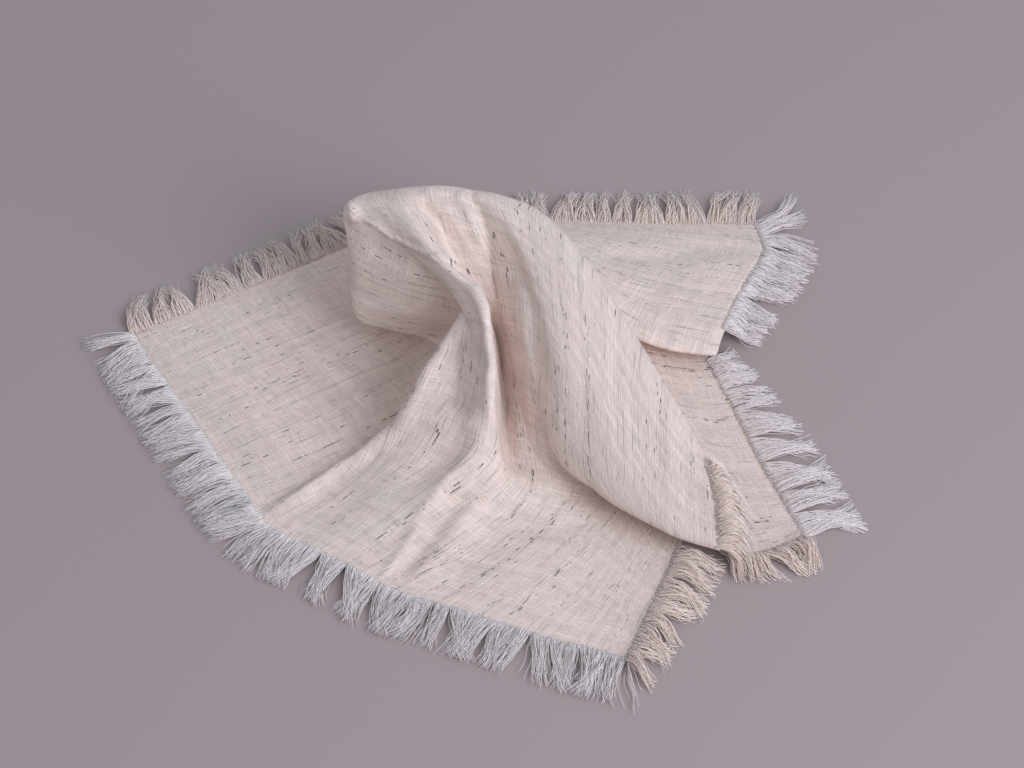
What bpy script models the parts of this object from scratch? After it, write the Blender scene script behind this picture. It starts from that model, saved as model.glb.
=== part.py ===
"""A square, slubby cloth napkin with four frayed edges, pinched at its middle and let fall in loose folds.

The cloth lies on z = 0. Its corners are A (left), B (front), C (right) and D (back right).
The flecked threads run from edge AB to edge CD, and the plain threads run from edge DA to edge BC.
"""

import math
import random

import bmesh
import bpy
import numpy as np

MM = 0.001
CLOTH_THICKNESS = 1.2
MIDDLE = (-19.63, -26.12)  # the footprint's middle, in the fold table's millimetres

# One row for each flecked thread that carries a fold. "share" is how far along edge AB the thread starts.
# The other columns are points on the cloth's underside in millimetres, x to the right, y to the back, z up:
# edge_ab    the frayed front left edge
# panel      the flat flap on the left, or the front panel
# foot       the valley left of the front panel, then the upper panel, then the crevice below the hood
# tuck       the cloth just past that valley or crevice
# inner      the turn inside the valley, then the rim, then the hidden turn below the hood
# roll       the shaded wall's right end, then the rim, then the hood's front roll
# face       the shaded wall, then the light band on top, then the hood
# ridge      the wall's left fold, then the top ridge, then the hood's back ridge
# back       the flank behind the ridge
# heel       where that flank meets the flaps on the right
# flap       the middle of those flaps
# edge_cd    the frayed right edge
THREADS = (
    (0.00, (-168, 29, 0), (-120, 57, 0), (-78, 82, 0), (-66, 89, 1),
     (-58, 92, 4), (-50, 94, 8), (-40, 95, 11), (-28, 96, 12),
     (-10, 97, 9), (15, 98, 2), (65, 98, 0), (111, 98, 0)),
    (0.07, (-157, 10, 0), (-110, 38, 0), (-69, 62, 0), (-58, 70, 2),
     (-53, 74, 6), (-52, 76, 11), (-51, 76, 15), (-47, 79, 19),
     (-29, 85, 21), (6, 89, 10), (62, 84, 4), (114, 76, 2)),
    (0.12, (-149, -3, 0), (-103, 24, 0), (-62, 48, 0), (-52, 56, 3),
     (-50, 61, 8), (-54, 63, 13), (-59, 63, 18), (-60, 67, 24),
     (-42, 77, 30), (0, 82, 19), (57, 69, 9), (108, 62, 3)),
    (0.22, (-133, -29, 0), (-90, -3, 0), (-52, 19, 0), (-40, 27, 3),
     (-37, 31, 8), (-45, 30, 13), (-56, 28, 15), (-66, 33, 19),
     (-54, 58, 36), (-3, 75, 32), (50, 42, 14), (97, 37, 5)),
    (0.26, (-126, -41, 0), (-86, -17, 0), (-48, 6, 0), (-36, 14, 3),
     (-33, 18, 8), (-41, 19, 12), (-54, 20, 14), (-68, 27, 18),
     (-58, 58, 40), (0, 71, 36), (50, 28, 16), (91, 19, 8)),
    (0.285, (-122, -47, 0), (-84, -25, 0), (-48, -4, 0), (-35, 3, 4),
     (-31, 9, 9), (-36, 14, 13), (-52, 18, 15), (-69, 26, 21),
     (-58, 57, 45), (3, 67, 38), (50, 18, 13), (88, 10, 7)),
    (0.31, (-118, -54, 0), (-83, -35, 0), (-50, -14, 0), (-37, -6, 7),
     (-30, 3, 14), (-27, 12, 18), (-51, 18, 21), (-69, 27, 28),
     (-58, 55, 48), (3, 63, 34), (48, 26, 7), (85, 18, 4)),
    (0.35, (-112, -63, 0), (-80, -47, 0), (-45, -29, 1), (-28, -21, 7),
     (-19, -9, 15), (-18, 6, 26), (-50, 18, 33), (-69, 30, 38),
     (-58, 54, 51), (3, 60, 27), (47, 44, 6), (81, 34, 5)),
    (0.42, (-101, -80, 0), (-68, -56, 4), (-49, -35, 13), (-39, -26, 28),
     (-31, -14, 38), (-20, 8, 45), (-47, 19, 48), (-70, 35, 54),
     (-55, 54, 57), (3, 58, 19), (47, 54, 7), (75, 50, 5)),
    (0.46, (-91, -87, 0), (-60, -63, 6), (-41, -45, 16), (-28, -28, 35),
     (-23, -12, 45), (-20, 6, 52), (-46, 22, 60), (-71, 42, 65),
     (-51, 54, 62), (4, 55, 17), (48, 61, 4), (72, 63, 3)),
    (0.50, (-80, -93, 1), (-50, -70, 8), (-26, -53, 16), (-18, -40, 31),
     (-15, -21, 42), (-19, -5, 50), (-38, 16, 64), (-62, 44, 68),
     (-42, 55, 63), (8, 51, 17), (50, 55, 0), (75, 56, 0)),
    (0.53, (-72, -98, 1), (-42, -76, 9), (-11, -56, 23), (-9, -40, 41),
     (-9, -21, 51), (-14, -5, 60), (-33, 12, 69), (-48, 45, 71),
     (-30, 55, 63), (13, 47, 17), (54, 47, 0), (78, 49, 0)),
    (0.57, (-63, -104, 1), (-34, -85, 5), (-5, -61, 11), (-4, -46, 10),
     (-4, -25, 15), (-6, -5, 28), (-16, 15, 50), (-33, 45, 72),
     (-18, 54, 60), (19, 43, 15), (58, 40, 0), (81, 42, 0)),
    (0.61, (-54, -110, 0), (-22, -90, 3), (3, -63, 7), (4, -50, 8),
     (3, -29, 22), (0, -13, 37), (-9, 18, 53), (-20, 44, 71),
     (-5, 53, 57), (26, 37, 11), (63, 30, 0), (85, 30, 0)),
    (0.65, (-44, -115, 0), (-12, -94, 2), (11, -70, 5), (14, -57, 7),
     (10, -46, 12), (6, -22, 45), (3, 14, 60), (-10, 44, 70),
     (6, 50, 54), (32, 30, 8), (66, 20, 0), (84, 20, 0)),
    (0.70, (-25, -122, 0), (6, -96, 2), (24, -74, 2), (31, -60, 2),
     (27, -54, 8), (15, -51, 21), (15, -24, 54), (8, 36, 68),
     (17, 40, 50), (39, 19, 5), (71, 3, 0), (90, 3, 0)),
    (0.78, (-5, -130, 0), (22, -100, 1), (40, -76, 0), (49, -60, 0),
     (51, -56, 4), (34, -71, 14), (31, -38, 50), (31, 13, 63),
     (35, 12, 41), (45, -2, 6), (79, -20, 0), (98, -20, 0)),
    (0.85, (13, -137, 0), (36, -106, 0), (51, -80, 0), (60, -64, 0),
     (62, -60, 4), (50, -83, 12), (47, -54, 39), (49, -14, 51),
     (55, -15, 33), (60, -26, 6), (88, -41, 0), (105, -42, 0)),
    (0.92, (29, -142, 0), (46, -113, 0), (60, -86, 0), (68, -69, 0),
     (70, -65, 4), (66, -92, 10), (65, -68, 31), (67, -43, 39),
     (72, -46, 24), (76, -55, 3), (97, -62, 0), (113, -62, 0)),
    (1.00, (46, -148, 0), (58, -119, 0), (68, -94, 0), (73, -76, 0),
     (75, -72, 4), (84, -98, 8), (84, -84, 22), (81, -67, 27),
     (85, -70, 15), (84, -92, 2), (100, -95, 0), (122, -85, 0)),
)
STEPS_ACROSS = 44  # about how many mesh rows the whole width of the cloth takes
STEPS_ALONG = 38

STRIP_GAP = 0.3
STRIP_WIDTH = 2.0
LOCK_PITCH = 6.0  # from the middle of one lock of thread to the next, along the edge
LOCK_TIP = 0.4  # a lock's tip, as a share of its width at the root
LOCK_SWAY = 0.09
LOCK_SEED = 7

# One row for each stretch of fringe: the edge it belongs to, where it starts and ends as shares of that
# edge, and its locks' lengths in millimetres at the start, the middle and the end. Edges AB and DA show all
# of theirs. The stretches left out are folded away inside the cloth.
FRINGES = (
    ("fringe_front_left", "ab", "fringe_white", 0.0, 1.0, (25, 25, 26)),
    ("fringe_right_back", "cd", "fringe_white", 0.0, 0.25, (25, 24, 15)),
    ("fringe_right_front", "cd", "fringe_white", 0.68, 1.0, (10, 24, 27)),
    ("fringe_back", "da", "fringe_beige", 0.0, 1.0, (18, 19, 20)),
    ("fringe_front_right", "bc", "fringe_beige", 0.0, 0.25, (19, 19, 13)),
    ("fringe_hood", "bc", "fringe_beige", 0.49, 0.62, (10, 11, 10)),
    ("fringe_corner", "bc", "fringe_beige", 0.86, 1.0, (10, 17, 19)),
)

# Base colour and roughness from the photo, in linear light.
MATERIALS = {
    "cloth": ((0.62, 0.55, 0.51), 0.9),
    "fringe_white": ((0.66, 0.64, 0.70), 0.85),
    "fringe_beige": ((0.62, 0.53, 0.44), 0.85),
}


def cubic_through(knots, values, at):
    """A curve through the values. Its slope at each knot is that of the parabola through the neighbours."""
    step = np.diff(knots)
    rise = np.diff(values, axis=0) / step[:, None]
    near = (step[1:] / (step[:-1] + step[1:]))[:, None]
    slope = np.empty_like(values)
    slope[1:-1] = near * rise[:-1] + (1 - near) * rise[1:]
    slope[0] = 1.5 * rise[0] - 0.5 * slope[1]
    slope[-1] = 1.5 * rise[-1] - 0.5 * slope[-2]
    span = np.clip(np.searchsorted(knots, at, side="right") - 1, 0, len(step) - 1)
    part = ((at - knots[span]) / step[span])[:, None]
    wide = step[span][:, None]
    from_start = (1 - part) ** 2 * ((1 + 2 * part) * values[span] + part * wide * slope[span])
    to_end = part**2 * ((3 - 2 * part) * values[span + 1] + (part - 1) * wide * slope[span + 1])
    return from_start + to_end


def mesh_rows(shares):
    """Where the mesh's rows lie between edges DA and BC: on the table's threads, and evenly between them."""
    rows = []
    for start, end in zip(shares[:-1], shares[1:]):
        count = max(2, round((end - start) * STEPS_ACROSS))
        rows.extend(np.linspace(start, end, count, endpoint=False))
    return np.array(rows + [shares[-1]])


def draped_grid():
    """Rows of points on the cloth's middle surface, in millimetres, each row along one flecked thread."""
    shares = np.array([thread[0] for thread in THREADS])
    nets = np.array([thread[1:] for thread in THREADS], float)
    rows = mesh_rows(shares)
    net = cubic_through(shares, nets.reshape(len(shares), -1), rows).reshape(len(rows), -1, 3)
    gaps = np.sqrt(np.linalg.norm(np.diff(net, axis=1), axis=2)).mean(axis=0)
    knots = np.concatenate([[0.0], np.cumsum(gaps)])
    columns = np.linspace(0.0, knots[-1], STEPS_ALONG + 1)
    grid = np.stack([cubic_through(knots, points, columns) for points in net])
    grid[..., 2] = np.maximum(grid[..., 2], 0.0) + CLOTH_THICKNESS / 2
    grid[..., :2] -= MIDDLE
    return grid


def unit(vectors):
    return vectors / np.linalg.norm(vectors, axis=-1, keepdims=True)


def add_material(name, slot):
    color, roughness = MATERIALS[slot]
    material = bpy.data.materials.new(name)
    material.use_nodes = True
    shader = material.node_tree.nodes["Principled BSDF"]
    shader.inputs["Base Color"].default_value = (*color, 1.0)
    shader.inputs["Roughness"].default_value = roughness
    shader.inputs["Metallic"].default_value = 0.0
    return material


def add_object(name, mesh, slot, collection):
    mesh.materials.append(add_material(name, slot))
    piece = bpy.data.objects.new(name, mesh)
    collection.objects.link(piece)
    mesh.shade_smooth()
    return piece


def add_cloth(grid, collection):
    """The sheet: one surface lofted through the threads, with an even thickness."""
    shell = bmesh.new()
    points = [[shell.verts.new(point * MM) for point in row] for row in grid]
    for row, following in zip(points[:-1], points[1:]):
        for i in range(len(row) - 1):
            shell.faces.new((row[i], row[i + 1], following[i + 1], following[i]))
    mesh = bpy.data.meshes.new("cloth")
    shell.to_mesh(mesh)
    shell.free()
    cloth = add_object("cloth", mesh, "cloth", collection)
    thicken = cloth.modifiers.new("thickness", "SOLIDIFY")
    thicken.thickness = CLOTH_THICKNESS * MM
    thicken.offset = 0.0
    return cloth


def edge_frames(edge, inside, start, end):
    """Points for the locks along an edge, with the directions along it, out of it and across the cloth."""
    steps = np.linalg.norm(np.diff(edge, axis=0), axis=1)
    travelled = np.concatenate([[0.0], np.cumsum(steps)])
    length = (end - start) * travelled[-1]
    count = 2 * round(length / LOCK_PITCH)
    margin = LOCK_PITCH / 4
    stations = np.linspace(start * travelled[-1] + margin, end * travelled[-1] - margin, count)
    points = cubic_through(travelled, edge, stations)
    inward = cubic_through(travelled, inside, stations)
    along = unit(np.gradient(points, axis=0))
    out = points - inward
    out = unit(out - (out * along).sum(axis=1, keepdims=True) * along)
    return points, along, out, unit(np.cross(along, out))


def lock_rings(root, along, out, across, length, swing, tip_height):
    """The two outer rings of a lock, which leaves the strip in line with the cloth and rests at its tip."""
    centre = root.mean(axis=0)
    width = np.linalg.norm(root[1] - root[0])
    heading = math.cos(swing) * out + math.sin(swing) * along
    level = np.array([heading[0], heading[1], 0.0])
    level = level / max(np.linalg.norm(level), 0.2)
    sideways = unit(np.cross((0.0, 0.0, 1.0), level))
    if np.dot(sideways, along) < 0:
        sideways = -sideways
    upright = np.array((0.0, 0.0, 1.0 if across[2] >= 0 else -1.0))
    rings = []
    for share in (0.5, 1.0):
        middle = centre + length * share * (heading if share < 1.0 else level)
        middle[2] = centre[2] + (tip_height - centre[2]) * share**0.7
        half_wide = unit(along * (1 - share) + sideways * share) * width / 2 * (1 - (1 - LOCK_TIP) * share)
        half_tall = unit(across * (1 - share) + upright * share) * CLOTH_THICKNESS / 2
        ring = np.array([middle - half_wide - half_tall, middle + half_wide - half_tall,
                         middle + half_wide + half_tall, middle - half_wide + half_tall])
        ring[:, 2] -= min(0.0, ring[:, 2].min())
        rings.append(ring)
    return rings


def add_fringe(name, slot, frames, lengths, seed, collection):
    """A narrow strip beside one edge of the cloth, with the locks growing out of its outer side."""
    points, along, out, across = frames
    tall = across * CLOTH_THICKNESS / 2
    near = points + out * STRIP_GAP
    far = points + out * (STRIP_GAP + STRIP_WIDTH)
    fringe = bmesh.new()
    corners = np.stack([near - tall, near + tall, far + tall, far - tall], axis=1)
    corners[..., 2] = np.maximum(corners[..., 2], 0.0)
    sections = [[fringe.verts.new(corner * MM) for corner in section] for section in corners]
    fringe.faces.new(sections[0])
    fringe.faces.new(reversed(sections[-1]))
    chance = random.Random(seed)
    phases = [chance.uniform(0, 2 * math.pi) for _ in range(3)]
    for i, (here, there) in enumerate(zip(sections[:-1], sections[1:])):
        for side in (0, 1, 3):
            after = (side + 1) % 4
            fringe.faces.new((here[side], there[side], there[after], here[after]))
        ring = [here[3], there[3], there[2], here[2]]
        if i % 2:
            fringe.faces.new(ring)
            continue
        share = i / (len(sections) - 2)
        length = np.interp(share, (0.0, 0.5, 1.0), lengths) * chance.uniform(0.85, 1.1)
        swing = LOCK_SWAY * sum(math.sin(phase + i * turn) for phase, turn in zip(phases, (0.1, 0.23, 0.5)))
        root = np.array([far[i] - tall[i], far[i + 1] - tall[i + 1],
                         far[i + 1] + tall[i + 1], far[i] + tall[i]])
        tip_height = CLOTH_THICKNESS / 2 + max(0.0, root[:, 2].mean() - 0.8 * length)
        for corners in lock_rings(root, along[i], out[i], across[i], length, swing, tip_height):
            following = [fringe.verts.new(corner * MM) for corner in corners]
            for side in range(4):
                after = (side + 1) % 4
                fringe.faces.new((ring[side], ring[after], following[after], following[side]))
            ring = following
        fringe.faces.new(ring)
    bmesh.ops.recalc_face_normals(fringe, faces=fringe.faces)
    mesh = bpy.data.meshes.new(name)
    fringe.to_mesh(mesh)
    fringe.free()
    return add_object(name, mesh, slot, collection)


def build():
    for leftover in list(bpy.data.objects):
        bpy.data.objects.remove(leftover, do_unlink=True)
    collection = bpy.data.collections.new("napkin")
    bpy.context.scene.collection.children.link(collection)
    grid = draped_grid()
    add_cloth(grid, collection)
    edges = {
        "ab": (grid[:, 0], grid[:, 1]),
        "cd": (grid[:, -1], grid[:, -2]),
        "da": (grid[0], grid[1]),
        "bc": (grid[-1], grid[-2]),
    }
    for number, (name, edge, slot, start, end, lengths) in enumerate(FRINGES):
        frames = edge_frames(*edges[edge], start, end)
        add_fringe(name, slot, frames, lengths, LOCK_SEED + number, collection)


build()
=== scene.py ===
"""Dresses the cloth napkin: its thin sheet, the weave and flecks on it, and its frayed threads."""

import math

import bpy
import numpy as np
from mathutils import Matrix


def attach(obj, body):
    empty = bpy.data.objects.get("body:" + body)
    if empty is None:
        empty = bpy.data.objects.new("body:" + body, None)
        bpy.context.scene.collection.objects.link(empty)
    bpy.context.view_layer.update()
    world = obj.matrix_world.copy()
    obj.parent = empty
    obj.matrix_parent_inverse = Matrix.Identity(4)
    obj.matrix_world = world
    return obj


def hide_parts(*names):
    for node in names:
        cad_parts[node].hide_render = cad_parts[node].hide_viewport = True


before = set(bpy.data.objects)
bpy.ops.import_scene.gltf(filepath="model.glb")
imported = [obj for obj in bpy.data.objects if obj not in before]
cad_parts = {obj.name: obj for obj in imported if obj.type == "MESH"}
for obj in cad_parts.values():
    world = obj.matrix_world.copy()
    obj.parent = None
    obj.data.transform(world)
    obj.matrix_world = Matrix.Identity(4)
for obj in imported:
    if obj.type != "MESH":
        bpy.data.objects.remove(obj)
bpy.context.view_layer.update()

MM = 0.001
FLAT_SIDE = 320.0  # the cut cloth's side
SHEET_THICKNESS = 0.5
MIDDLE = (-19.63, -26.12)  # the footprint's middle, in the fold table's millimetres
SEED = 20

# One row for each flecked thread that carries a fold. "share" is how far along edge AB the thread starts.
# The other columns are points on the cloth's underside in millimetres, x to the right, y to the back, z up:
# edge_ab    the frayed front left edge
# panel      the flat flap on the left, or the front panel
# foot       the valley left of the front panel, then the upper panel, then the crevice below the hood
# tuck       the cloth just past that valley or crevice
# inner      the turn inside the valley, then the rim, then the hidden turn below the hood
# roll       the shaded wall's right end, then the rim, then the hood's front roll
# face       the shaded wall, then the light band on top, then the hood
# ridge      the wall's left fold, then the top ridge, then the hood's back ridge
# back       the flank behind the ridge
# heel       where that flank meets the flaps on the right
# flap       the middle of those flaps
# edge_cd    the frayed right edge
THREADS = (
    (0.00, (-168, 29, 0), (-120, 57, 0), (-78, 82, 0), (-66, 89, 1),
     (-58, 92, 4), (-50, 94, 8), (-40, 95, 11), (-28, 96, 12),
     (-10, 97, 9), (15, 98, 2), (65, 98, 0), (111, 98, 0)),
    (0.07, (-157, 10, 0), (-110, 38, 0), (-69, 62, 0), (-58, 70, 2),
     (-53, 74, 6), (-52, 76, 11), (-51, 76, 15), (-47, 79, 19),
     (-29, 85, 21), (6, 89, 10), (62, 84, 4), (114, 76, 2)),
    (0.12, (-149, -3, 0), (-103, 24, 0), (-62, 48, 0), (-52, 56, 3),
     (-50, 61, 8), (-54, 63, 13), (-59, 63, 18), (-60, 67, 24),
     (-42, 77, 30), (0, 82, 19), (57, 69, 9), (108, 62, 3)),
    (0.22, (-133, -29, 0), (-90, -3, 0), (-52, 19, 0), (-40, 27, 3),
     (-37, 31, 8), (-45, 30, 13), (-56, 28, 15), (-66, 33, 19),
     (-54, 58, 36), (-3, 75, 32), (50, 42, 14), (97, 37, 5)),
    (0.26, (-126, -41, 0), (-86, -17, 0), (-48, 6, 0), (-36, 14, 3),
     (-33, 18, 8), (-41, 19, 12), (-54, 20, 14), (-68, 27, 18),
     (-58, 58, 40), (0, 71, 36), (50, 28, 16), (91, 19, 8)),
    (0.285, (-122, -47, 0), (-84, -25, 0), (-48, -4, 0), (-35, 3, 4),
     (-31, 9, 9), (-36, 14, 13), (-52, 18, 15), (-69, 26, 21),
     (-58, 57, 45), (3, 67, 38), (50, 18, 13), (88, 10, 7)),
    (0.31, (-118, -54, 0), (-83, -35, 0), (-50, -14, 0), (-37, -6, 7),
     (-30, 3, 14), (-27, 12, 18), (-51, 18, 21), (-69, 27, 28),
     (-58, 55, 48), (3, 63, 34), (48, 26, 7), (85, 18, 4)),
    (0.35, (-112, -63, 0), (-80, -47, 0), (-45, -29, 1), (-28, -21, 7),
     (-19, -9, 15), (-18, 6, 26), (-50, 18, 33), (-69, 30, 38),
     (-58, 54, 51), (3, 60, 27), (47, 44, 6), (81, 34, 5)),
    (0.42, (-101, -80, 0), (-68, -56, 4), (-49, -35, 13), (-39, -26, 28),
     (-31, -14, 38), (-20, 8, 45), (-47, 19, 48), (-70, 35, 54),
     (-55, 54, 57), (3, 58, 19), (47, 54, 7), (75, 50, 5)),
    (0.46, (-91, -87, 0), (-60, -63, 6), (-41, -45, 16), (-28, -28, 35),
     (-23, -12, 45), (-20, 6, 52), (-46, 22, 60), (-71, 42, 65),
     (-51, 54, 62), (4, 55, 17), (48, 61, 4), (72, 63, 3)),
    (0.50, (-80, -93, 1), (-50, -70, 8), (-26, -53, 16), (-18, -40, 31),
     (-15, -21, 42), (-19, -5, 50), (-38, 16, 64), (-62, 44, 68),
     (-42, 55, 63), (8, 51, 17), (50, 55, 0), (75, 56, 0)),
    (0.53, (-72, -98, 1), (-42, -76, 9), (-11, -56, 23), (-9, -40, 41),
     (-9, -21, 51), (-14, -5, 60), (-33, 12, 69), (-48, 45, 71),
     (-30, 55, 63), (13, 47, 17), (54, 47, 0), (78, 49, 0)),
    (0.57, (-63, -104, 1), (-34, -85, 5), (-5, -61, 11), (-4, -46, 10),
     (-4, -25, 15), (-6, -5, 28), (-16, 15, 50), (-33, 45, 72),
     (-18, 54, 60), (19, 43, 15), (58, 40, 0), (81, 42, 0)),
    (0.61, (-54, -110, 0), (-22, -90, 3), (3, -63, 7), (4, -50, 8),
     (3, -29, 22), (0, -13, 37), (-9, 18, 53), (-20, 44, 71),
     (-5, 53, 57), (26, 37, 11), (63, 30, 0), (85, 30, 0)),
    (0.65, (-44, -115, 0), (-12, -94, 2), (11, -70, 5), (14, -57, 7),
     (10, -46, 12), (6, -22, 45), (3, 14, 60), (-10, 44, 70),
     (6, 50, 54), (32, 30, 8), (66, 20, 0), (84, 20, 0)),
    (0.70, (-25, -122, 0), (6, -96, 2), (24, -74, 2), (31, -60, 2),
     (27, -54, 8), (15, -51, 21), (15, -24, 54), (8, 36, 68),
     (17, 40, 50), (39, 19, 5), (71, 3, 0), (90, 3, 0)),
    (0.78, (-5, -130, 0), (22, -100, 1), (40, -76, 0), (49, -60, 0),
     (51, -56, 4), (34, -71, 14), (31, -38, 50), (31, 13, 63),
     (35, 12, 41), (45, -2, 6), (79, -20, 0), (98, -20, 0)),
    (0.85, (13, -137, 0), (36, -106, 0), (51, -80, 0), (60, -64, 0),
     (62, -60, 4), (50, -83, 12), (47, -54, 39), (49, -14, 51),
     (55, -15, 33), (60, -26, 6), (88, -41, 0), (105, -42, 0)),
    (0.92, (29, -142, 0), (46, -113, 0), (60, -86, 0), (68, -69, 0),
     (70, -65, 4), (66, -92, 10), (65, -68, 31), (67, -43, 39),
     (72, -46, 24), (76, -55, 3), (97, -62, 0), (113, -62, 0)),
    (1.00, (46, -148, 0), (58, -119, 0), (68, -94, 0), (73, -76, 0),
     (75, -72, 4), (84, -98, 8), (84, -84, 22), (81, -67, 27),
     (85, -70, 15), (84, -92, 2), (100, -95, 0), (122, -85, 0)),
)
# Mesh lines across and along the flecked threads, and how closely they lie in each stretch of the cloth:
# (share of the width or length, lines per share there).
SHEET_ROWS = 219
SHEET_COLUMNS = 219
DENSITY_POINTS = 2001
ROW_DENSITY = ((0.0, 0.7), (0.2, 0.8), (0.35, 1.4), (0.6, 1.5), (0.8, 1.0), (1.0, 0.8))
COLUMN_DENSITY = ((0.0, 0.7), (0.15, 0.9), (0.3, 1.4), (0.65, 1.4), (0.8, 0.9), (1.0, 0.7))

# Random unevenness of the sheet: (wavelength, height) in millimetres. It has its full height where the cloth
# is WAVES_FULL_AT high or more, and a share of it lower down, at least WAVES_LEAST. There its rises are also
# higher by WAVES_LIFT of their height, and its hollows are as much shallower.
WAVES = ((46, 0.9), (21, 0.45), (9, 0.16))
WAVES_FULL_AT = 6.0
WAVES_LEAST = 0.15
WAVES_LIFT = 0.5
ON_LEFT_FLAP = (SHEET_ROWS // 20, SHEET_COLUMNS // 10)  # a point of the mesh where the cloth faces up

# Creases and soft folds that are finer than the table's. Each follows a line seen in the photo, given in the
# photo's pixels, and has its height in millimetres (a trough's is negative), its reach to each side in
# millimetres, and whether its crest is sharp.
CREASES = (
    ("rim", ((350, 211), (367, 224), (393, 237), (419, 249), (439, 257), (456, 268), (469, 280), (476, 292),
             (481, 305), (483, 321), (487, 341), (489, 369), (491, 397), (491, 420), (485, 434)),
     2.2, 1.7, False),
    ("lip_hollow", ((420, 197), (434, 211), (446, 229), (456, 248), (466, 267), (476, 286)),
     -4.8, 3.8, False),
    ("pleat", ((472, 188), (478, 204), (482, 227), (486, 249), (489, 279), (492, 303)), -3.2, 3.0, True),
    ("pleat_side", ((460, 189), (467, 208), (474, 228), (479, 250)), 1.4, 3.0, False),
    ("panel_hollow", ((458, 338), (459, 360), (457, 388), (450, 414)), -4.6, 5.8, False),
    ("panel_foot", ((487, 433), (466, 425), (433, 419), (400, 419)), 2.2, 4.5, False),
    ("panel_crease", ((489, 431), (470, 452), (448, 478), (429, 503), (410, 535), (392, 565), (377, 584)),
     1.9, 1.9, True),
    ("front_hollow", ((497, 448), (484, 476), (462, 502), (438, 530), (418, 556), (398, 582)),
     -1.3, 3.2, False),
    ("front_fill", ((492, 476), (474, 506), (452, 534), (430, 562), (414, 584)), 2.2, 8.0, False),
    ("gutter_foot", ((436, 500), (470, 502), (505, 512), (549, 527), (600, 540), (638, 545)),
     -3.2, 4.4, False),
    ("tip_ear", ((354, 203), (353, 211), (355, 221)), 2.8, 2.8, False),
    ("panel_side", ((264, 516), (306, 492), (342, 468), (376, 446), (402, 425), (416, 398), (428, 372),
                    (440, 348)),
     4.0, 4.4, False),
    ("valley", ((255, 511), (296, 484), (335, 458), (368, 435), (394, 412), (405, 388), (418, 362)),
     -2.4, 2.2, True),
    ("wall_foot", ((360, 305), (390, 312), (420, 322), (442, 333)), 1.4, 5.0, False),
    ("flap_line", ((600, 252), (650, 254), (700, 252), (745, 250)), -1.5, 7.0, False),
    ("flap_fold", ((612, 262), (650, 290), (690, 318), (715, 340)), 1.2, 9.0, False),
)

# How a crease's line is found on the sheet. Each point of it goes to the front-most spot that shows within
# CATCH_PX of it, or else within CATCH_SLACK_PX more than the nearest spot. At its ends a crease has
# END_SHARE of its height. From there it gains END_RISE hundredths of it with each hundredth of its length,
# up to its full height.
CATCH_PX = 3.0
CATCH_SLACK_PX = 0.5
END_SHARE = 0.15
END_RISE = 6

# Camera: it looks at the fold table's origin from the photo's height.
PHOTO_WIDTH_PX = 1024
PHOTO_HEIGHT_PX = 768
MM_A_PIXEL = 0.432  # at the fold table's origin
LENS_MM = 100.0
SENSOR_MM = 36.0
FOCAL_PX = LENS_MM / SENSOR_MM * PHOTO_WIDTH_PX
CAMERA_DISTANCE = FOCAL_PX * MM_A_PIXEL
ELEVATION = math.radians(48.5)

# Light and floor. Places and sizes are in metres.
KEY_PLACE = (1.2, -0.9, 1.08)
KEY_SIZE = 1.25
KEY_WATTS = 24.3
KEY_COLOR = (0.905, 0.99, 1.12)
WORLD_COLOR = (0.93, 1.015, 1.15, 1.0)
WORLD_STRENGTH = 0.48
FLOOR_COLOR = (0.40, 0.318, 0.308, 1.0)
FLOOR_ROUGHNESS = 0.7
FLOOR_REACH = 4.0
FLOOR_DROP = 0.0001

SPECULAR_LEVEL = 0.25
SHEEN_ROUGHNESS = 0.5

# The cloth's look. A grain is a noise's size across and along the flecked threads in millimetres. A step is
# a value up to which nothing shows, and one from which all of it shows, on noise or luck of 0 to 1.
CLOTH_COLOR = (0.78, 0.615, 0.54, 1.0)
CLOTH_ROUGHNESS = 0.85
CLOTH_SHEEN = 0.15
THREAD_PITCH = 0.8
BAND_GRAIN = (4.0, 120)
BAND_DARKEST = 0.78
BAND_LIGHT = 0.22
FINE_GRAIN = (0.55, 7)
FINE_MEAN = 1.0
FINE_LIGHT = 0.36
SLUB_COLOR = (0.90, 0.745, 0.665, 1.0)
SLUB_GRAIN = (0.8, 26)
SLUB_STEP = (0.60, 0.74)
SLUB_SHARE = 0.5
SLUB_RELIEF = 0.4
WEAVE_RELIEF = 0.15
BUMP_STRENGTH = 0.8
BUMP_HEIGHT = 0.25

# Dark flecks. Faint ones lie along nearly half of the threads, dark dashes lie in bunches along a fifth of
# them, and knots lie anywhere. Which threads have which is a step on each thread's luck.
FLECK_COLOR = (0.058, 0.055, 0.066, 1.0)
THREAD_APART = 7.31  # how far apart neighbouring threads' noises are, so that they differ
INSIDE_STEP = (0.08, 0.32)  # how far inside a thread's side flecks show, as shares of its width
FAINT_THREADS = (0.50, 0.60)
FAINT_LENGTH = 18.0
FAINT_DETAIL = 3.0
FAINT_STEP = (0.52, 0.74)
FAINT_SHARE = 0.40
DASHED_THREADS = (0.77, 0.81)
BUNCH_GRAIN = (14, 34)
BUNCH_STEP = (0.42, 0.58)
DASH_LENGTH = 4.0
DASH_DETAIL = 2.0
DASH_STEP = (0.56, 0.66)
DASH_SHARE = 0.95
KNOT_GRAIN = (1.8, 7.0)
KNOT_DETAIL = 2.0
KNOT_STEP = (0.80, 0.84)
KNOT_SHARE = 0.85

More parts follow.
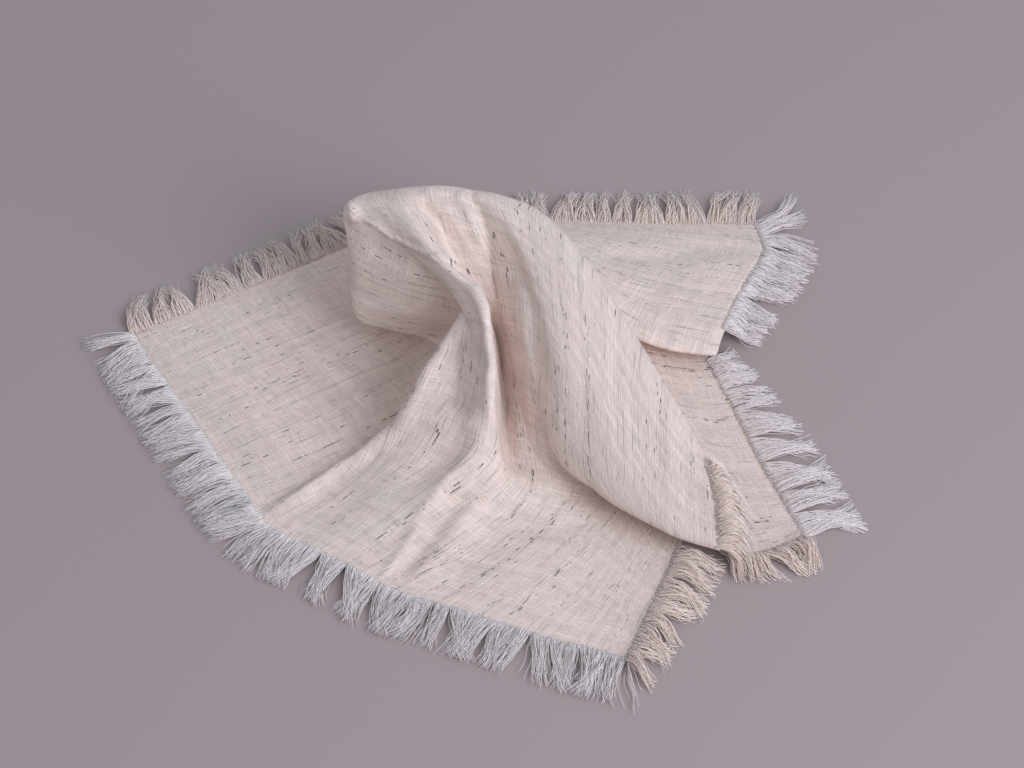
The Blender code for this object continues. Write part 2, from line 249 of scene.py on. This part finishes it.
# The loose threads' look. Each has a tone between a light and a darker one, and some have one dark part.
WHITE_TONES = ((1.0, 0.865, 0.825, 1.0), (0.89, 0.765, 0.73, 1.0))
BEIGE_TONES = ((1.0, 0.81, 0.705, 1.0), (0.92, 0.71, 0.61, 1.0))
THREAD_ROUGHNESS = 0.8
THREAD_SHEEN = 1.0
TUFT_ODDS = 0.8  # the share of threads with a dark part in a tuft
DARKNESS = (0.4, 0.9)
DARK_MIDDLE = (0.0, 0.8)  # where that part's middle is, as a share of the thread's length, like DARK_FADE
DARK_FADE = 0.2
DARK_CORE = 1.6  # half the dark part's length, in fades

# The loose threads' shape, in millimetres. A spread is a random range, as shares of a usual value.
INSIDE_LINE = 3  # the mesh line inside an edge from which its threads point away
RINGS = 10  # points along each thread
SIDES = 3
STATIONS = np.linspace(0.0, 1.0, RINGS)[None, :]  # how far along each thread its points lie
THREAD_TAPER = 0.6  # the tip's radius, as a share of the root's
FLOOR_GAP = 0.02
SPARE_LOCKS = 4  # more than the edge needs, as their widths are random
LOCK_SPREAD = (0.6, 1.4)
LENGTH_SPREAD = (0.72, 1.08)
INSET_LEAST = 0.3
PILE_LEAST = 0.2
ROOT_PILE = 0.25  # the pile's height at the edge, as a share of that at the tips
ROOT_LIFT = 0.35  # how far above the sheet's middle surface threads start
HUMP_RATE = 1.1  # a hump ends short of the tip, at 1 / HUMP_RATE of the length
WAVE_TURN = 5.5  # how far a lock's wave turns from root to tip, in radians, like the next two
PHASE_STRAY = 0.5
KINK_TURN = (6, 15)
KINK_SPREAD = (0.3, 1.4)
STEEPEST = 0.35  # threads reach outwards by less where the level share of their direction is below this
EDGE_SLOPE = 0.3  # how much of the edge's slope sideways shifts follow

# How each kind of thread lies. Lengths are in millimetres.
# per_mm   threads for each millimetre of edge
# lock     the width of a lock of threads
# sway     how far locks lean along the edge, as a slope
# bend     how much further they lean towards their tips
# stray    how far a thread's lean and bend differ from its lock's
# gather   how far a lock closes up at its tip, as a share
# wave     how far a lock waves sideways
# kink     how far a thread kinks sideways
# pile     how high threads lie on each other at most
# hump     how far threads arch above that
# stiff    how little they fall where nothing holds them
# inset    how far inside the edge they start at most
# radius   a thread's least and greatest radius
# dark     the share of threads that are dark in one part
# tuft     the stretch where most threads are, as shares of the edge
WHITE = {"per_mm": 9.5, "lock": 6.0, "sway": 0.13, "bend": 0.18, "stray": 0.07, "gather": 0.50, "wave": 0.7,
         "kink": 0.42, "pile": 2.0, "hump": 0.9, "stiff": 9.0, "inset": 2.2, "radius": (0.12, 0.21),
         "dark": 0.05, "tuft": (0.0, 0.0)}
WHITE_TUFT = {**WHITE, "tuft": (0.372, 0.398)}
BEIGE = {"per_mm": 9.0, "lock": 6.0, "sway": 0.18, "bend": 0.22, "stray": 0.08, "gather": 0.64, "wave": 0.9,
         "kink": 0.45, "pile": 1.8, "hump": 2.2, "stiff": 9.0, "inset": 2.2, "radius": (0.13, 0.22),
         "dark": 0.0, "tuft": (0.0, 0.0)}
BEIGE_LOCKS = {**BEIGE, "per_mm": 8.0, "lock": 8.5, "sway": 0.24, "bend": 0.2, "gather": 0.9, "hump": 1.4}


def cubic_through(knots, values, at):
    """A curve through the values. Its slope at each knot is that of the parabola through the neighbours."""
    step = np.diff(knots)
    rise = np.diff(values, axis=0) / step[:, None]
    near = (step[1:] / (step[:-1] + step[1:]))[:, None]
    slope = np.empty_like(values)
    slope[1:-1] = near * rise[:-1] + (1 - near) * rise[1:]
    slope[0] = 1.5 * rise[0] - 0.5 * slope[1]
    slope[-1] = 1.5 * rise[-1] - 0.5 * slope[-2]
    span = np.clip(np.searchsorted(knots, at, side="right") - 1, 0, len(step) - 1)
    part = ((at - knots[span]) / step[span])[:, None]
    wide = step[span][:, None]
    from_start = (1 - part) ** 2 * ((1 + 2 * part) * values[span] + part * wide * slope[span])
    to_end = part**2 * ((3 - 2 * part) * values[span + 1] + (part - 1) * wide * slope[span + 1])
    return from_start + to_end


def unit(vectors):
    return vectors / np.linalg.norm(vectors, axis=-1, keepdims=True)


def spread(density, count):
    """count + 1 values from 0 to 1, closer together where the density is higher."""
    fine = np.linspace(0, 1, DENSITY_POINTS)
    height = np.interp(fine, *zip(*density))
    travelled = np.concatenate([[0.0], np.cumsum((height[1:] + height[:-1]) / 2)])
    return np.interp(np.linspace(0, travelled[-1], count + 1), travelled, fine)


def in_photo(points):
    """Where points in the fold table's millimetres show in the photo, and how far away they are."""
    across = points[..., 0]
    back = points[..., 1]
    height = points[..., 2]
    depth = CAMERA_DISTANCE + back * math.cos(ELEVATION) - height * math.sin(ELEVATION)
    up = back * math.sin(ELEVATION) + height * math.cos(ELEVATION)
    return PHOTO_WIDTH_PX / 2 + FOCAL_PX * across / depth, PHOTO_HEIGHT_PX / 2 - FOCAL_PX * up / depth, depth


def crease(grid, flat):
    """The height of all the creases over each point of the sheet."""
    wide, high, depth = in_photo(grid)
    total = np.zeros(grid.shape[:2])
    for _, line, height, reach, sharp in CREASES:
        path = []
        for x, y in line:
            off = np.hypot(wide - x, high - y)
            front = np.where(off < max(CATCH_PX, off.min() + CATCH_SLACK_PX), depth, np.inf)
            path.append(flat[np.unravel_index(np.argmin(front), front.shape)])
        nearest = np.full(grid.shape[:2], np.inf)
        ends = np.ones(grid.shape[:2])
        for number, (start, end) in enumerate(zip(path[:-1], path[1:])):
            leg = end - start
            share = np.clip(((flat - start) @ leg) / max(leg @ leg, 1e-9), 0, 1)
            off = np.linalg.norm(flat - start - share[..., None] * leg, axis=-1)
            along = (number + share) / (len(path) - 1)
            rising = np.clip(np.minimum(along, 1 - along) * END_RISE + END_SHARE, 0, 1)
            closer = off < nearest
            nearest = np.where(closer, off, nearest)
            ends = np.where(closer, rising, ends)
        profile = np.exp(-nearest / reach) if sharp else np.exp(-((nearest / reach) ** 2))
        total += height * ends * profile
    return total


def smooth_noise(rows, columns, wavelength, chance):
    """Smooth random values of about -1 to 1 at these shares of the flat cloth's width and length."""
    cells = max(2, round(FLAT_SIDE / wavelength))
    knots = np.arange(cells + 1) / cells
    values = chance.uniform(-1, 1, (cells + 1, cells + 1))
    return cubic_through(knots, cubic_through(knots, values, rows).T, columns).T


def draped_sheet():
    """Points on the fold table's surface, and where each lies on the flat cloth, both in millimetres."""
    shares = np.array([thread[0] for thread in THREADS])
    nets = np.array([thread[1:] for thread in THREADS], float)
    rows = spread(ROW_DENSITY, SHEET_ROWS)
    net = cubic_through(shares, nets.reshape(len(shares), -1), rows).reshape(len(rows), -1, 3)
    gaps = np.sqrt(np.linalg.norm(np.diff(net, axis=1), axis=2)).mean(axis=0)
    knots = np.concatenate([[0.0], np.cumsum(gaps)])
    columns = spread(COLUMN_DENSITY, SHEET_COLUMNS) * knots[-1]
    grid = np.stack([cubic_through(knots, points, columns) for points in net])
    travelled = np.cumsum(np.linalg.norm(np.diff(grid, axis=1), axis=2), axis=1)
    travelled = np.concatenate([np.zeros((len(rows), 1)), travelled], axis=1)
    flat = np.empty((*grid.shape[:2], 2))
    flat[..., 0] = rows[:, None] * FLAT_SIDE
    flat[..., 1] = travelled / travelled[:, -1:] * FLAT_SIDE
    return grid, flat


def finish_folds(grid, flat):
    """Adds waves and creases along the sheet's normals, lays it on the floor and moves it to the frame."""
    chance = np.random.default_rng(SEED)
    normals = unit(np.cross(np.gradient(grid, axis=0), np.gradient(grid, axis=1)))
    normals *= np.sign(normals[ON_LEFT_FLAP][2])
    rows = flat[:, 0, 0] / FLAT_SIDE
    columns = np.linspace(0, 1, SHEET_COLUMNS + 1)
    height = np.zeros(grid.shape[:2])
    for wavelength, size in WAVES:
        height += size * smooth_noise(rows, columns, wavelength, chance)
    raised = np.clip(grid[..., 2] / WAVES_FULL_AT, WAVES_LEAST, 1.0)
    lift = np.where(raised < 1, WAVES_LIFT * raised * np.abs(height), 0.0)
    height = height * raised + lift + crease(grid, flat)
    grid = grid + normals * height[..., None]
    grid[..., 2] = np.maximum(grid[..., 2], 0.0) + SHEET_THICKNESS / 2
    grid[..., :2] -= MIDDLE
    return grid


def new_object(name, points, faces, material):
    mesh = bpy.data.meshes.new(name)
    mesh.from_pydata((points * MM).tolist(), [], faces)
    mesh.materials.append(material)
    mesh.shade_smooth()
    piece = bpy.data.objects.new(name, mesh)
    bpy.context.scene.collection.objects.link(piece)
    return piece


class Shader:
    """A Principled material, with short names for the nodes that colour it."""

    def __init__(self, name, roughness, sheen):
        self.material = bpy.data.materials.new(name)
        self.material.use_nodes = True
        self.tree = self.material.node_tree
        self.flat = None  # the flat cloth's coordinates, in a material that uses them
        self.surface = self.tree.nodes["Principled BSDF"]
        self.surface.inputs["Roughness"].default_value = roughness
        self.surface.inputs["Specular IOR Level"].default_value = SPECULAR_LEVEL
        self.surface.inputs["Sheen Weight"].default_value = sheen
        self.surface.inputs["Sheen Roughness"].default_value = SHEEN_ROUGHNESS

    def add(self, kind, **values):
        node = self.tree.nodes.new(kind)
        for key, value in values.items():
            setattr(node, key, value)
        return node

    def join(self, value, socket):
        if isinstance(value, bpy.types.NodeSocket):
            self.tree.links.new(value, socket)
        else:
            socket.default_value = value

    def math(self, operation, first, second=0.0, third=0.0):
        node = self.add("ShaderNodeMath", operation=operation)
        for value, socket in zip((first, second, third), node.inputs):
            self.join(value, socket)
        return node.outputs[0]

    def times(self, first, second):
        return self.math("MULTIPLY", first, second)

    def between(self, value, step):
        """0 below the step's first value and 1 above its second, with a smooth rise between them."""
        node = self.add("ShaderNodeMapRange", interpolation_type="SMOOTHSTEP")
        self.join(value, node.inputs["Value"])
        self.join(step[0], node.inputs["From Min"])
        self.join(step[1], node.inputs["From Max"])
        return node.outputs["Result"]

    def noise_at(self, vector, detail):
        node = self.add("ShaderNodeTexNoise", noise_dimensions="2D")
        node.inputs["Scale"].default_value = 1.0
        node.inputs["Detail"].default_value = detail
        self.join(vector, node.inputs["Vector"])
        return node.outputs[0]

    def noise(self, grain, detail=1.0):
        """Noise on the flat cloth, of this grain."""
        stretch = self.add("ShaderNodeMapping")
        stretch.inputs["Scale"].default_value = (1 / grain[0], 1 / grain[1], 1.0)
        self.join(self.flat, stretch.inputs["Vector"])
        return self.noise_at(stretch.outputs["Vector"], detail)

    def crossed(self, operation, grain):
        """The same noise for the threads of both directions."""
        return self.math(operation, self.noise(grain), self.noise(grain[::-1]))

    def mix(self, mode, share, first, second):
        """A mix of two colours. The node has its sockets for colours at inputs 6 and 7 and output 2."""
        node = self.add("ShaderNodeMix", data_type="RGBA", blend_type=mode)
        self.join(share, node.inputs["Factor"])
        self.join(first, node.inputs[6])
        self.join(second, node.inputs[7])
        return node.outputs[2]


def cloth_material():
    shader = Shader("woven_cloth", CLOTH_ROUGHNESS, CLOTH_SHEEN)
    shader.flat = shader.add("ShaderNodeUVMap", uv_map="flat_mm").outputs["UV"]
    split = shader.add("ShaderNodeSeparateXYZ")
    shader.join(shader.flat, split.inputs[0])
    across = split.outputs["X"]
    along = split.outputs["Y"]

    bands = shader.crossed("ADD", BAND_GRAIN)
    fine = shader.crossed("ADD", FINE_GRAIN)
    brightness = shader.math("MULTIPLY_ADD", bands, BAND_LIGHT, BAND_DARKEST)
    unevenness = shader.math("SUBTRACT", fine, FINE_MEAN)
    brightness = shader.math("MULTIPLY_ADD", unevenness, FINE_LIGHT, brightness)
    slubs = shader.between(shader.crossed("MAXIMUM", SLUB_GRAIN), SLUB_STEP)
    color = shader.mix("MIX", shader.times(slubs, SLUB_SHARE), CLOTH_COLOR, SLUB_COLOR)
    color = shader.mix("MULTIPLY", 1.0, color, brightness)

    thread_number = shader.math("DIVIDE", across, THREAD_PITCH)
    thread = shader.math("FLOOR", thread_number)
    place = shader.math("FRACT", thread_number)
    luck = shader.add("ShaderNodeTexWhiteNoise", noise_dimensions="1D")
    shader.join(thread, luck.inputs["W"])

    def thread_noise(length, detail):
        """Noise along each thread, with grains of this length in millimetres."""
        spot = shader.add("ShaderNodeCombineXYZ")
        shader.join(shader.times(thread, THREAD_APART), spot.inputs["X"])
        shader.join(shader.math("DIVIDE", along, length), spot.inputs["Y"])
        return shader.noise_at(spot.outputs[0], detail)

    faint_threads = shader.times(shader.between(luck.outputs["Value"], FAINT_THREADS), FAINT_SHARE)
    faint = shader.times(shader.between(thread_noise(FAINT_LENGTH, FAINT_DETAIL), FAINT_STEP), faint_threads)
    dashed_threads = shader.between(luck.outputs["Value"], DASHED_THREADS)
    bunches = shader.times(shader.between(shader.noise(BUNCH_GRAIN), BUNCH_STEP), dashed_threads)
    dashes = shader.between(thread_noise(DASH_LENGTH, DASH_DETAIL), DASH_STEP)
    dashes = shader.times(dashes, shader.times(bunches, DASH_SHARE))
    inside = shader.between(shader.math("PINGPONG", place, 0.5), INSIDE_STEP)
    marks = shader.times(shader.math("MAXIMUM", faint, dashes), inside)
    knots = shader.times(shader.between(shader.noise(KNOT_GRAIN, KNOT_DETAIL), KNOT_STEP), KNOT_SHARE)
    color = shader.mix("MIX", shader.math("MAXIMUM", marks, knots), color, FLECK_COLOR)
    shader.join(color, shader.surface.inputs["Base Color"])

    over = shader.math("SINE", shader.times(across, math.pi / THREAD_PITCH))
    under = shader.math("SINE", shader.times(along, math.pi / THREAD_PITCH))
    relief = shader.math("ADD", fine, shader.times(slubs, SLUB_RELIEF))
    relief = shader.math("MULTIPLY_ADD", shader.times(over, under), WEAVE_RELIEF, relief)
    bump = shader.add("ShaderNodeBump")
    bump.inputs["Strength"].default_value = BUMP_STRENGTH
    bump.inputs["Distance"].default_value = BUMP_HEIGHT * MM
    shader.join(relief, bump.inputs["Height"])
    shader.join(bump.outputs["Normal"], shader.surface.inputs["Normal"])
    return shader.material


def thread_material(name, tones):
    """Loose threads: each has its own tone, and a few are dark along part of their length."""
    light, shade = tones
    shader = Shader(name, THREAD_ROUGHNESS, THREAD_SHEEN)
    tone = shader.add("ShaderNodeAttribute", attribute_name="tone")
    fleck = shader.add("ShaderNodeAttribute", attribute_name="fleck")
    color = shader.mix("MIX", tone.outputs["Fac"], shade, light)
    color = shader.mix("MIX", fleck.outputs["Fac"], color, FLECK_COLOR)
    shader.join(color, shader.surface.inputs["Base Color"])
    return shader.material


def add_sheet(grid, flat):
    rows, columns = grid.shape[:2]
    index = np.arange(rows * columns).reshape(rows, columns)
    corners = [index[:-1, :-1], index[:-1, 1:], index[1:, 1:], index[1:, :-1]]
    faces = np.stack(corners, axis=-1).reshape(-1, 4)
    sheet = new_object("napkin", grid.reshape(-1, 3), faces.tolist(), cloth_material())
    layer = sheet.data.uv_layers.new(name="flat_mm")
    layer.data.foreach_set("uv", flat.reshape(-1, 2)[faces.ravel()].ravel())
    thicken = sheet.modifiers.new("thickness", "SOLIDIFY")
    thicken.thickness = SHEET_THICKNESS * MM
    thicken.offset = 0.0
    return sheet


def edge_at(edge, inside, stations):
    """Points at the given distances along an edge, with the directions along it and out of it."""
    travelled = np.concatenate([[0.0], np.cumsum(np.linalg.norm(np.diff(edge, axis=0), axis=1))])

    def at_stations(vectors):
        return np.stack([np.interp(stations, travelled, values) for values in vectors.T], axis=1)

    along = unit(at_stations(unit(np.gradient(edge, axis=0))))
    away = at_stations(unit(edge - inside))
    out = unit(away - (away * along).sum(axis=1, keepdims=True) * along)
    return at_stations(edge), along, out


def lay_threads(stretch, style, chance):
    """Paths of the threads along a stretch of edge, and where each leaves it, as a share of the edge."""
    edge, inside, start, end, lengths, base, lean = stretch
    total = np.linalg.norm(np.diff(edge, axis=0), axis=1).sum()
    count = round((end - start) * total * style["per_mm"])
    share = np.sort(chance.uniform(start, end, count))
    spots, along, out = edge_at(edge, inside, share * total)
    lock_count = round((end - start) * total / style["lock"]) + SPARE_LOCKS
    lock = np.cumsum(chance.uniform(*LOCK_SPREAD, lock_count) * style["lock"])
    which = np.searchsorted(lock, (share - start) * total)
    offset = (lock - style["lock"] / 2)[which] - (share - start) * total

    def lean_of_locks(size):
        """A random slope that the threads of a lock share, with a little of each thread's own."""
        shared = chance.normal(0, size, len(lock))[which]
        return shared + chance.normal(0, style["stray"], count)

    swing = lean_of_locks(style["sway"])
    bend = lean_of_locks(style["bend"])
    phase = chance.uniform(0, 2 * math.pi, len(lock))[which] + chance.normal(0, PHASE_STRAY, count)
    longest = np.interp(share, np.linspace(start, end, len(lengths)), lengths)
    reach = (longest * chance.uniform(*LENGTH_SPREAD, count))[:, None] * STATIONS
    pile = base + chance.uniform(PILE_LEAST, style["pile"], count)
    hump = np.abs(chance.normal(0, style["hump"], count))
    hump = hump + style["hump"] * chance.uniform(0, 1, len(lock))[which]

    slant = np.interp(share, np.linspace(start, end, len(lean)), lean) + swing
    gathering = STATIONS * STATIONS * (3 - 2 * STATIONS)
    sideways = (offset * style["gather"])[:, None] * gathering
    sideways = sideways + reach * (slant[:, None] + bend[:, None] * STATIONS)
    sideways = sideways + style["wave"] * np.sin(phase[:, None] + WAVE_TURN * STATIONS) * STATIONS
    kink = chance.uniform(*KINK_TURN, (count, 1)) * STATIONS + chance.uniform(0, 2 * math.pi, (count, 1))
    kink_size = style["kink"] * chance.uniform(*KINK_SPREAD, (count, 1))
    sideways = sideways + kink_size * np.sin(kink) * np.sqrt(STATIONS)

    level = out * (1, 1, 0)
    level = level / np.maximum(np.linalg.norm(level, axis=1, keepdims=True), STEEPEST)
    level_along = along * (1, 1, EDGE_SLOPE)
    beyond = reach - chance.uniform(INSET_LEAST, style["inset"], (count, 1))
    points = spots[:, None] + level[:, None] * beyond[..., None]
    points = points + level_along[:, None] * sideways[..., None]
    fall = out[:, 2:3] * beyond - np.maximum(beyond, 0.0) ** 2 / (2 * style["stiff"])
    lowest = pile[:, None] * (ROOT_PILE + (1 - ROOT_PILE) * STATIONS)
    upward = hump[:, None] * np.sin(math.pi * np.minimum(1.0, STATIONS * HUMP_RATE))
    upward = upward + style["kink"] * (1 + np.cos(kink)) * STATIONS / 2
    points[..., 2] = np.maximum(spots[:, 2:3] + fall, lowest) + upward
    points[..., 2] += ROOT_LIFT * (1 - STATIONS)
    return points, share


def thread_tubes(paths, radius):
    """The points and faces of a tapered tube round each path."""
    tangent = unit(np.gradient(paths, axis=1))
    side = unit(np.cross(tangent, (0.0, 0.0, 1.0)))
    tall = np.cross(side, tangent)
    turn = (np.arange(SIDES) * 2 * math.pi / SIDES)[:, None]
    around = side[:, :, None] * np.cos(turn) + tall[:, :, None] * np.sin(turn)
    radii = radius[:, None] * np.linspace(1.0, THREAD_TAPER, RINGS)[None, :]
    ring = paths[:, :, None] + radii[..., None, None] * around
    ring[..., 2] = np.maximum(ring[..., 2], FLOOR_GAP)
    index = np.arange(len(paths) * RINGS * SIDES).reshape(len(paths), RINGS, SIDES)
    after = np.roll(index, -1, axis=2)
    walls = np.stack([index[:, :-1], after[:, :-1], after[:, 1:], index[:, 1:]], axis=-1).reshape(-1, 4)
    caps = np.concatenate([index[:, 0, ::-1], index[:, -1]])
    return ring.reshape(-1, 3), walls.tolist() + caps.tolist()


def dark_parts(odds, chance):
    """How dark each thread is at each of its rings, where odds are its odds of having a dark part."""
    dark = np.where(chance.uniform(0, 1, len(odds)) < odds, chance.uniform(*DARKNESS, len(odds)), 0.0)
    middle = chance.uniform(*DARK_MIDDLE, len(odds))
    off = np.abs(STATIONS - middle[:, None]) / DARK_FADE
    return dark[:, None] * np.clip(DARK_CORE - off, 0, 1)


def add_threads(name, stretches, material, style, seed):
    """Loose threads in wavy locks along stretches of edge: (edge, inside, start, end, lengths, base, lean).

    inside is a line of points inside the edge. start and end are shares of the edge. lengths, and lean as a
    slope along the edge, are spaced evenly from start to end. base is how high the pile of threads starts.
    """
    chance = np.random.default_rng(seed)
    laid = [lay_threads(stretch, style, chance) for stretch in stretches]
    paths = np.concatenate([points for points, _ in laid])
    share = np.concatenate([shares for _, shares in laid])
    points, faces = thread_tubes(paths, chance.uniform(*style["radius"], len(paths)))
    threads = new_object(name, points, faces, material)
    tone = np.repeat(chance.uniform(0, 1, len(paths)), RINGS * SIDES)
    tuft_start, tuft_end = style["tuft"]
    odds = np.where((share > tuft_start) & (share < tuft_end), TUFT_ODDS, style["dark"])
    fleck = np.repeat(dark_parts(odds, chance).ravel(), SIDES)
    for key, values in (("tone", tone), ("fleck", fleck)):
        layer = threads.data.attributes.new(key, "FLOAT", "POINT")
        layer.data.foreach_set("value", values)
    return threads


def add_fringes(grid):
    ab = (grid[:, 0], grid[:, INSIDE_LINE])
    cd = (grid[:, -1], grid[:, -1 - INSIDE_LINE])
    da = (grid[0], grid[INSIDE_LINE])
    bc = (grid[-1], grid[-1 - INSIDE_LINE])
    white = thread_material("white_threads", WHITE_TONES)
    beige = thread_material("beige_threads", BEIGE_TONES)
    front_left = [(*ab, 0.0, 1.0, (21, 24, 22, 23), 0.0, (0.0, 0.0, 0.0, 0.25))]
    right = [
        (*cd, 0.0, 0.255, (22, 22, 16), 0.6, (0.0, 0.0)),
        (*cd, 0.66, 1.0, (13, 24, 25), 0.0, (0.0, 0.0)),
    ]
    back = [(*da, 0.0, 1.0, (17, 19, 19, 18, 19), 0.0, (0.0, 0.0))]
    front_right = [
        (*bc, 0.0, 0.27, (15, 17, 21, 21), 0.0, (-0.6, -0.45, -0.3, -0.15)),
        (*bc, 0.42, 0.68, (17, 16, 15, 9), 0.9, (0.0, 0.1)),
        (*bc, 0.84, 1.0, (12, 17, 18), 0.0, (0.3, 0.1)),
    ]
    fringes = (
        ("threads_front_left", front_left, white, WHITE_TUFT, SEED + 1),
        ("threads_right", right, white, WHITE, SEED + 2),
        ("threads_back", back, beige, BEIGE_LOCKS, SEED + 3),
        ("threads_front_right", front_right, beige, BEIGE, SEED + 4),
    )
    made = {name: add_threads(name, *settings) for name, *settings in fringes}
    stands_for = {
        "threads_front_left": ("fringe_front_left",),
        "threads_right": ("fringe_right_back", "fringe_right_front"),
        "threads_back": ("fringe_back",),
        "threads_front_right": ("fringe_front_right", "fringe_hood", "fringe_corner"),
    }
    for name, piece in made.items():
        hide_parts(*stands_for[name])
        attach(piece, "root")
    return list(made.values())


def add_floor():
    mesh = bpy.data.meshes.new("floor")
    signs = ((-1, -1), (1, -1), (1, 1), (-1, 1))
    corners = [(x * FLOOR_REACH, y * FLOOR_REACH, -FLOOR_DROP) for x, y in signs]
    mesh.from_pydata(corners, [], [(0, 1, 2, 3)])
    material = bpy.data.materials.new("pale_floor")
    material.use_nodes = True
    surface = material.node_tree.nodes["Principled BSDF"]
    surface.inputs["Base Color"].default_value = FLOOR_COLOR
    surface.inputs["Roughness"].default_value = FLOOR_ROUGHNESS
    mesh.materials.append(material)
    floor = bpy.data.objects.new("floor", mesh)
    bpy.context.scene.collection.objects.link(floor)


def add_key_light():
    """A soft square light that points at the napkin."""
    data = bpy.data.lights.new("key", "AREA")
    data.shape = "SQUARE"
    data.size = KEY_SIZE
    data.energy = KEY_WATTS
    data.color = KEY_COLOR
    light = bpy.data.objects.new("key", data)
    light.location = KEY_PLACE
    light.rotation_mode = "QUATERNION"
    light.rotation_quaternion = (-light.location).to_track_quat("-Z", "Y")
    bpy.context.scene.collection.objects.link(light)


def set_world():
    world = bpy.context.scene.world or bpy.data.worlds.new("world")
    bpy.context.scene.world = world
    world.use_nodes = True
    background = world.node_tree.nodes["Background"]
    background.inputs["Color"].default_value = WORLD_COLOR
    background.inputs["Strength"].default_value = WORLD_STRENGTH


def add_camera():
    distance = CAMERA_DISTANCE * MM
    data = bpy.data.cameras.new("camera")
    data.lens = LENS_MM
    data.sensor_width = SENSOR_MM
    camera = bpy.data.objects.new("camera", data)
    camera.location = (
        -MIDDLE[0] * MM,
        -MIDDLE[1] * MM - distance * math.cos(ELEVATION),
        distance * math.sin(ELEVATION),
    )
    camera.rotation_euler = (math.pi / 2 - ELEVATION, 0.0, 0.0)
    bpy.context.scene.collection.objects.link(camera)
    bpy.context.scene.camera = camera


grid, flat = draped_sheet()
grid = finish_folds(grid, flat)
napkin = add_sheet(grid, flat)
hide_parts("cloth")
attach(napkin, "root")
fringes = add_fringes(grid)

add_floor()
set_world()
add_key_light()
bpy.context.scene.view_settings.view_transform = "Standard"
add_camera()

bpy.context.view_layer.update()
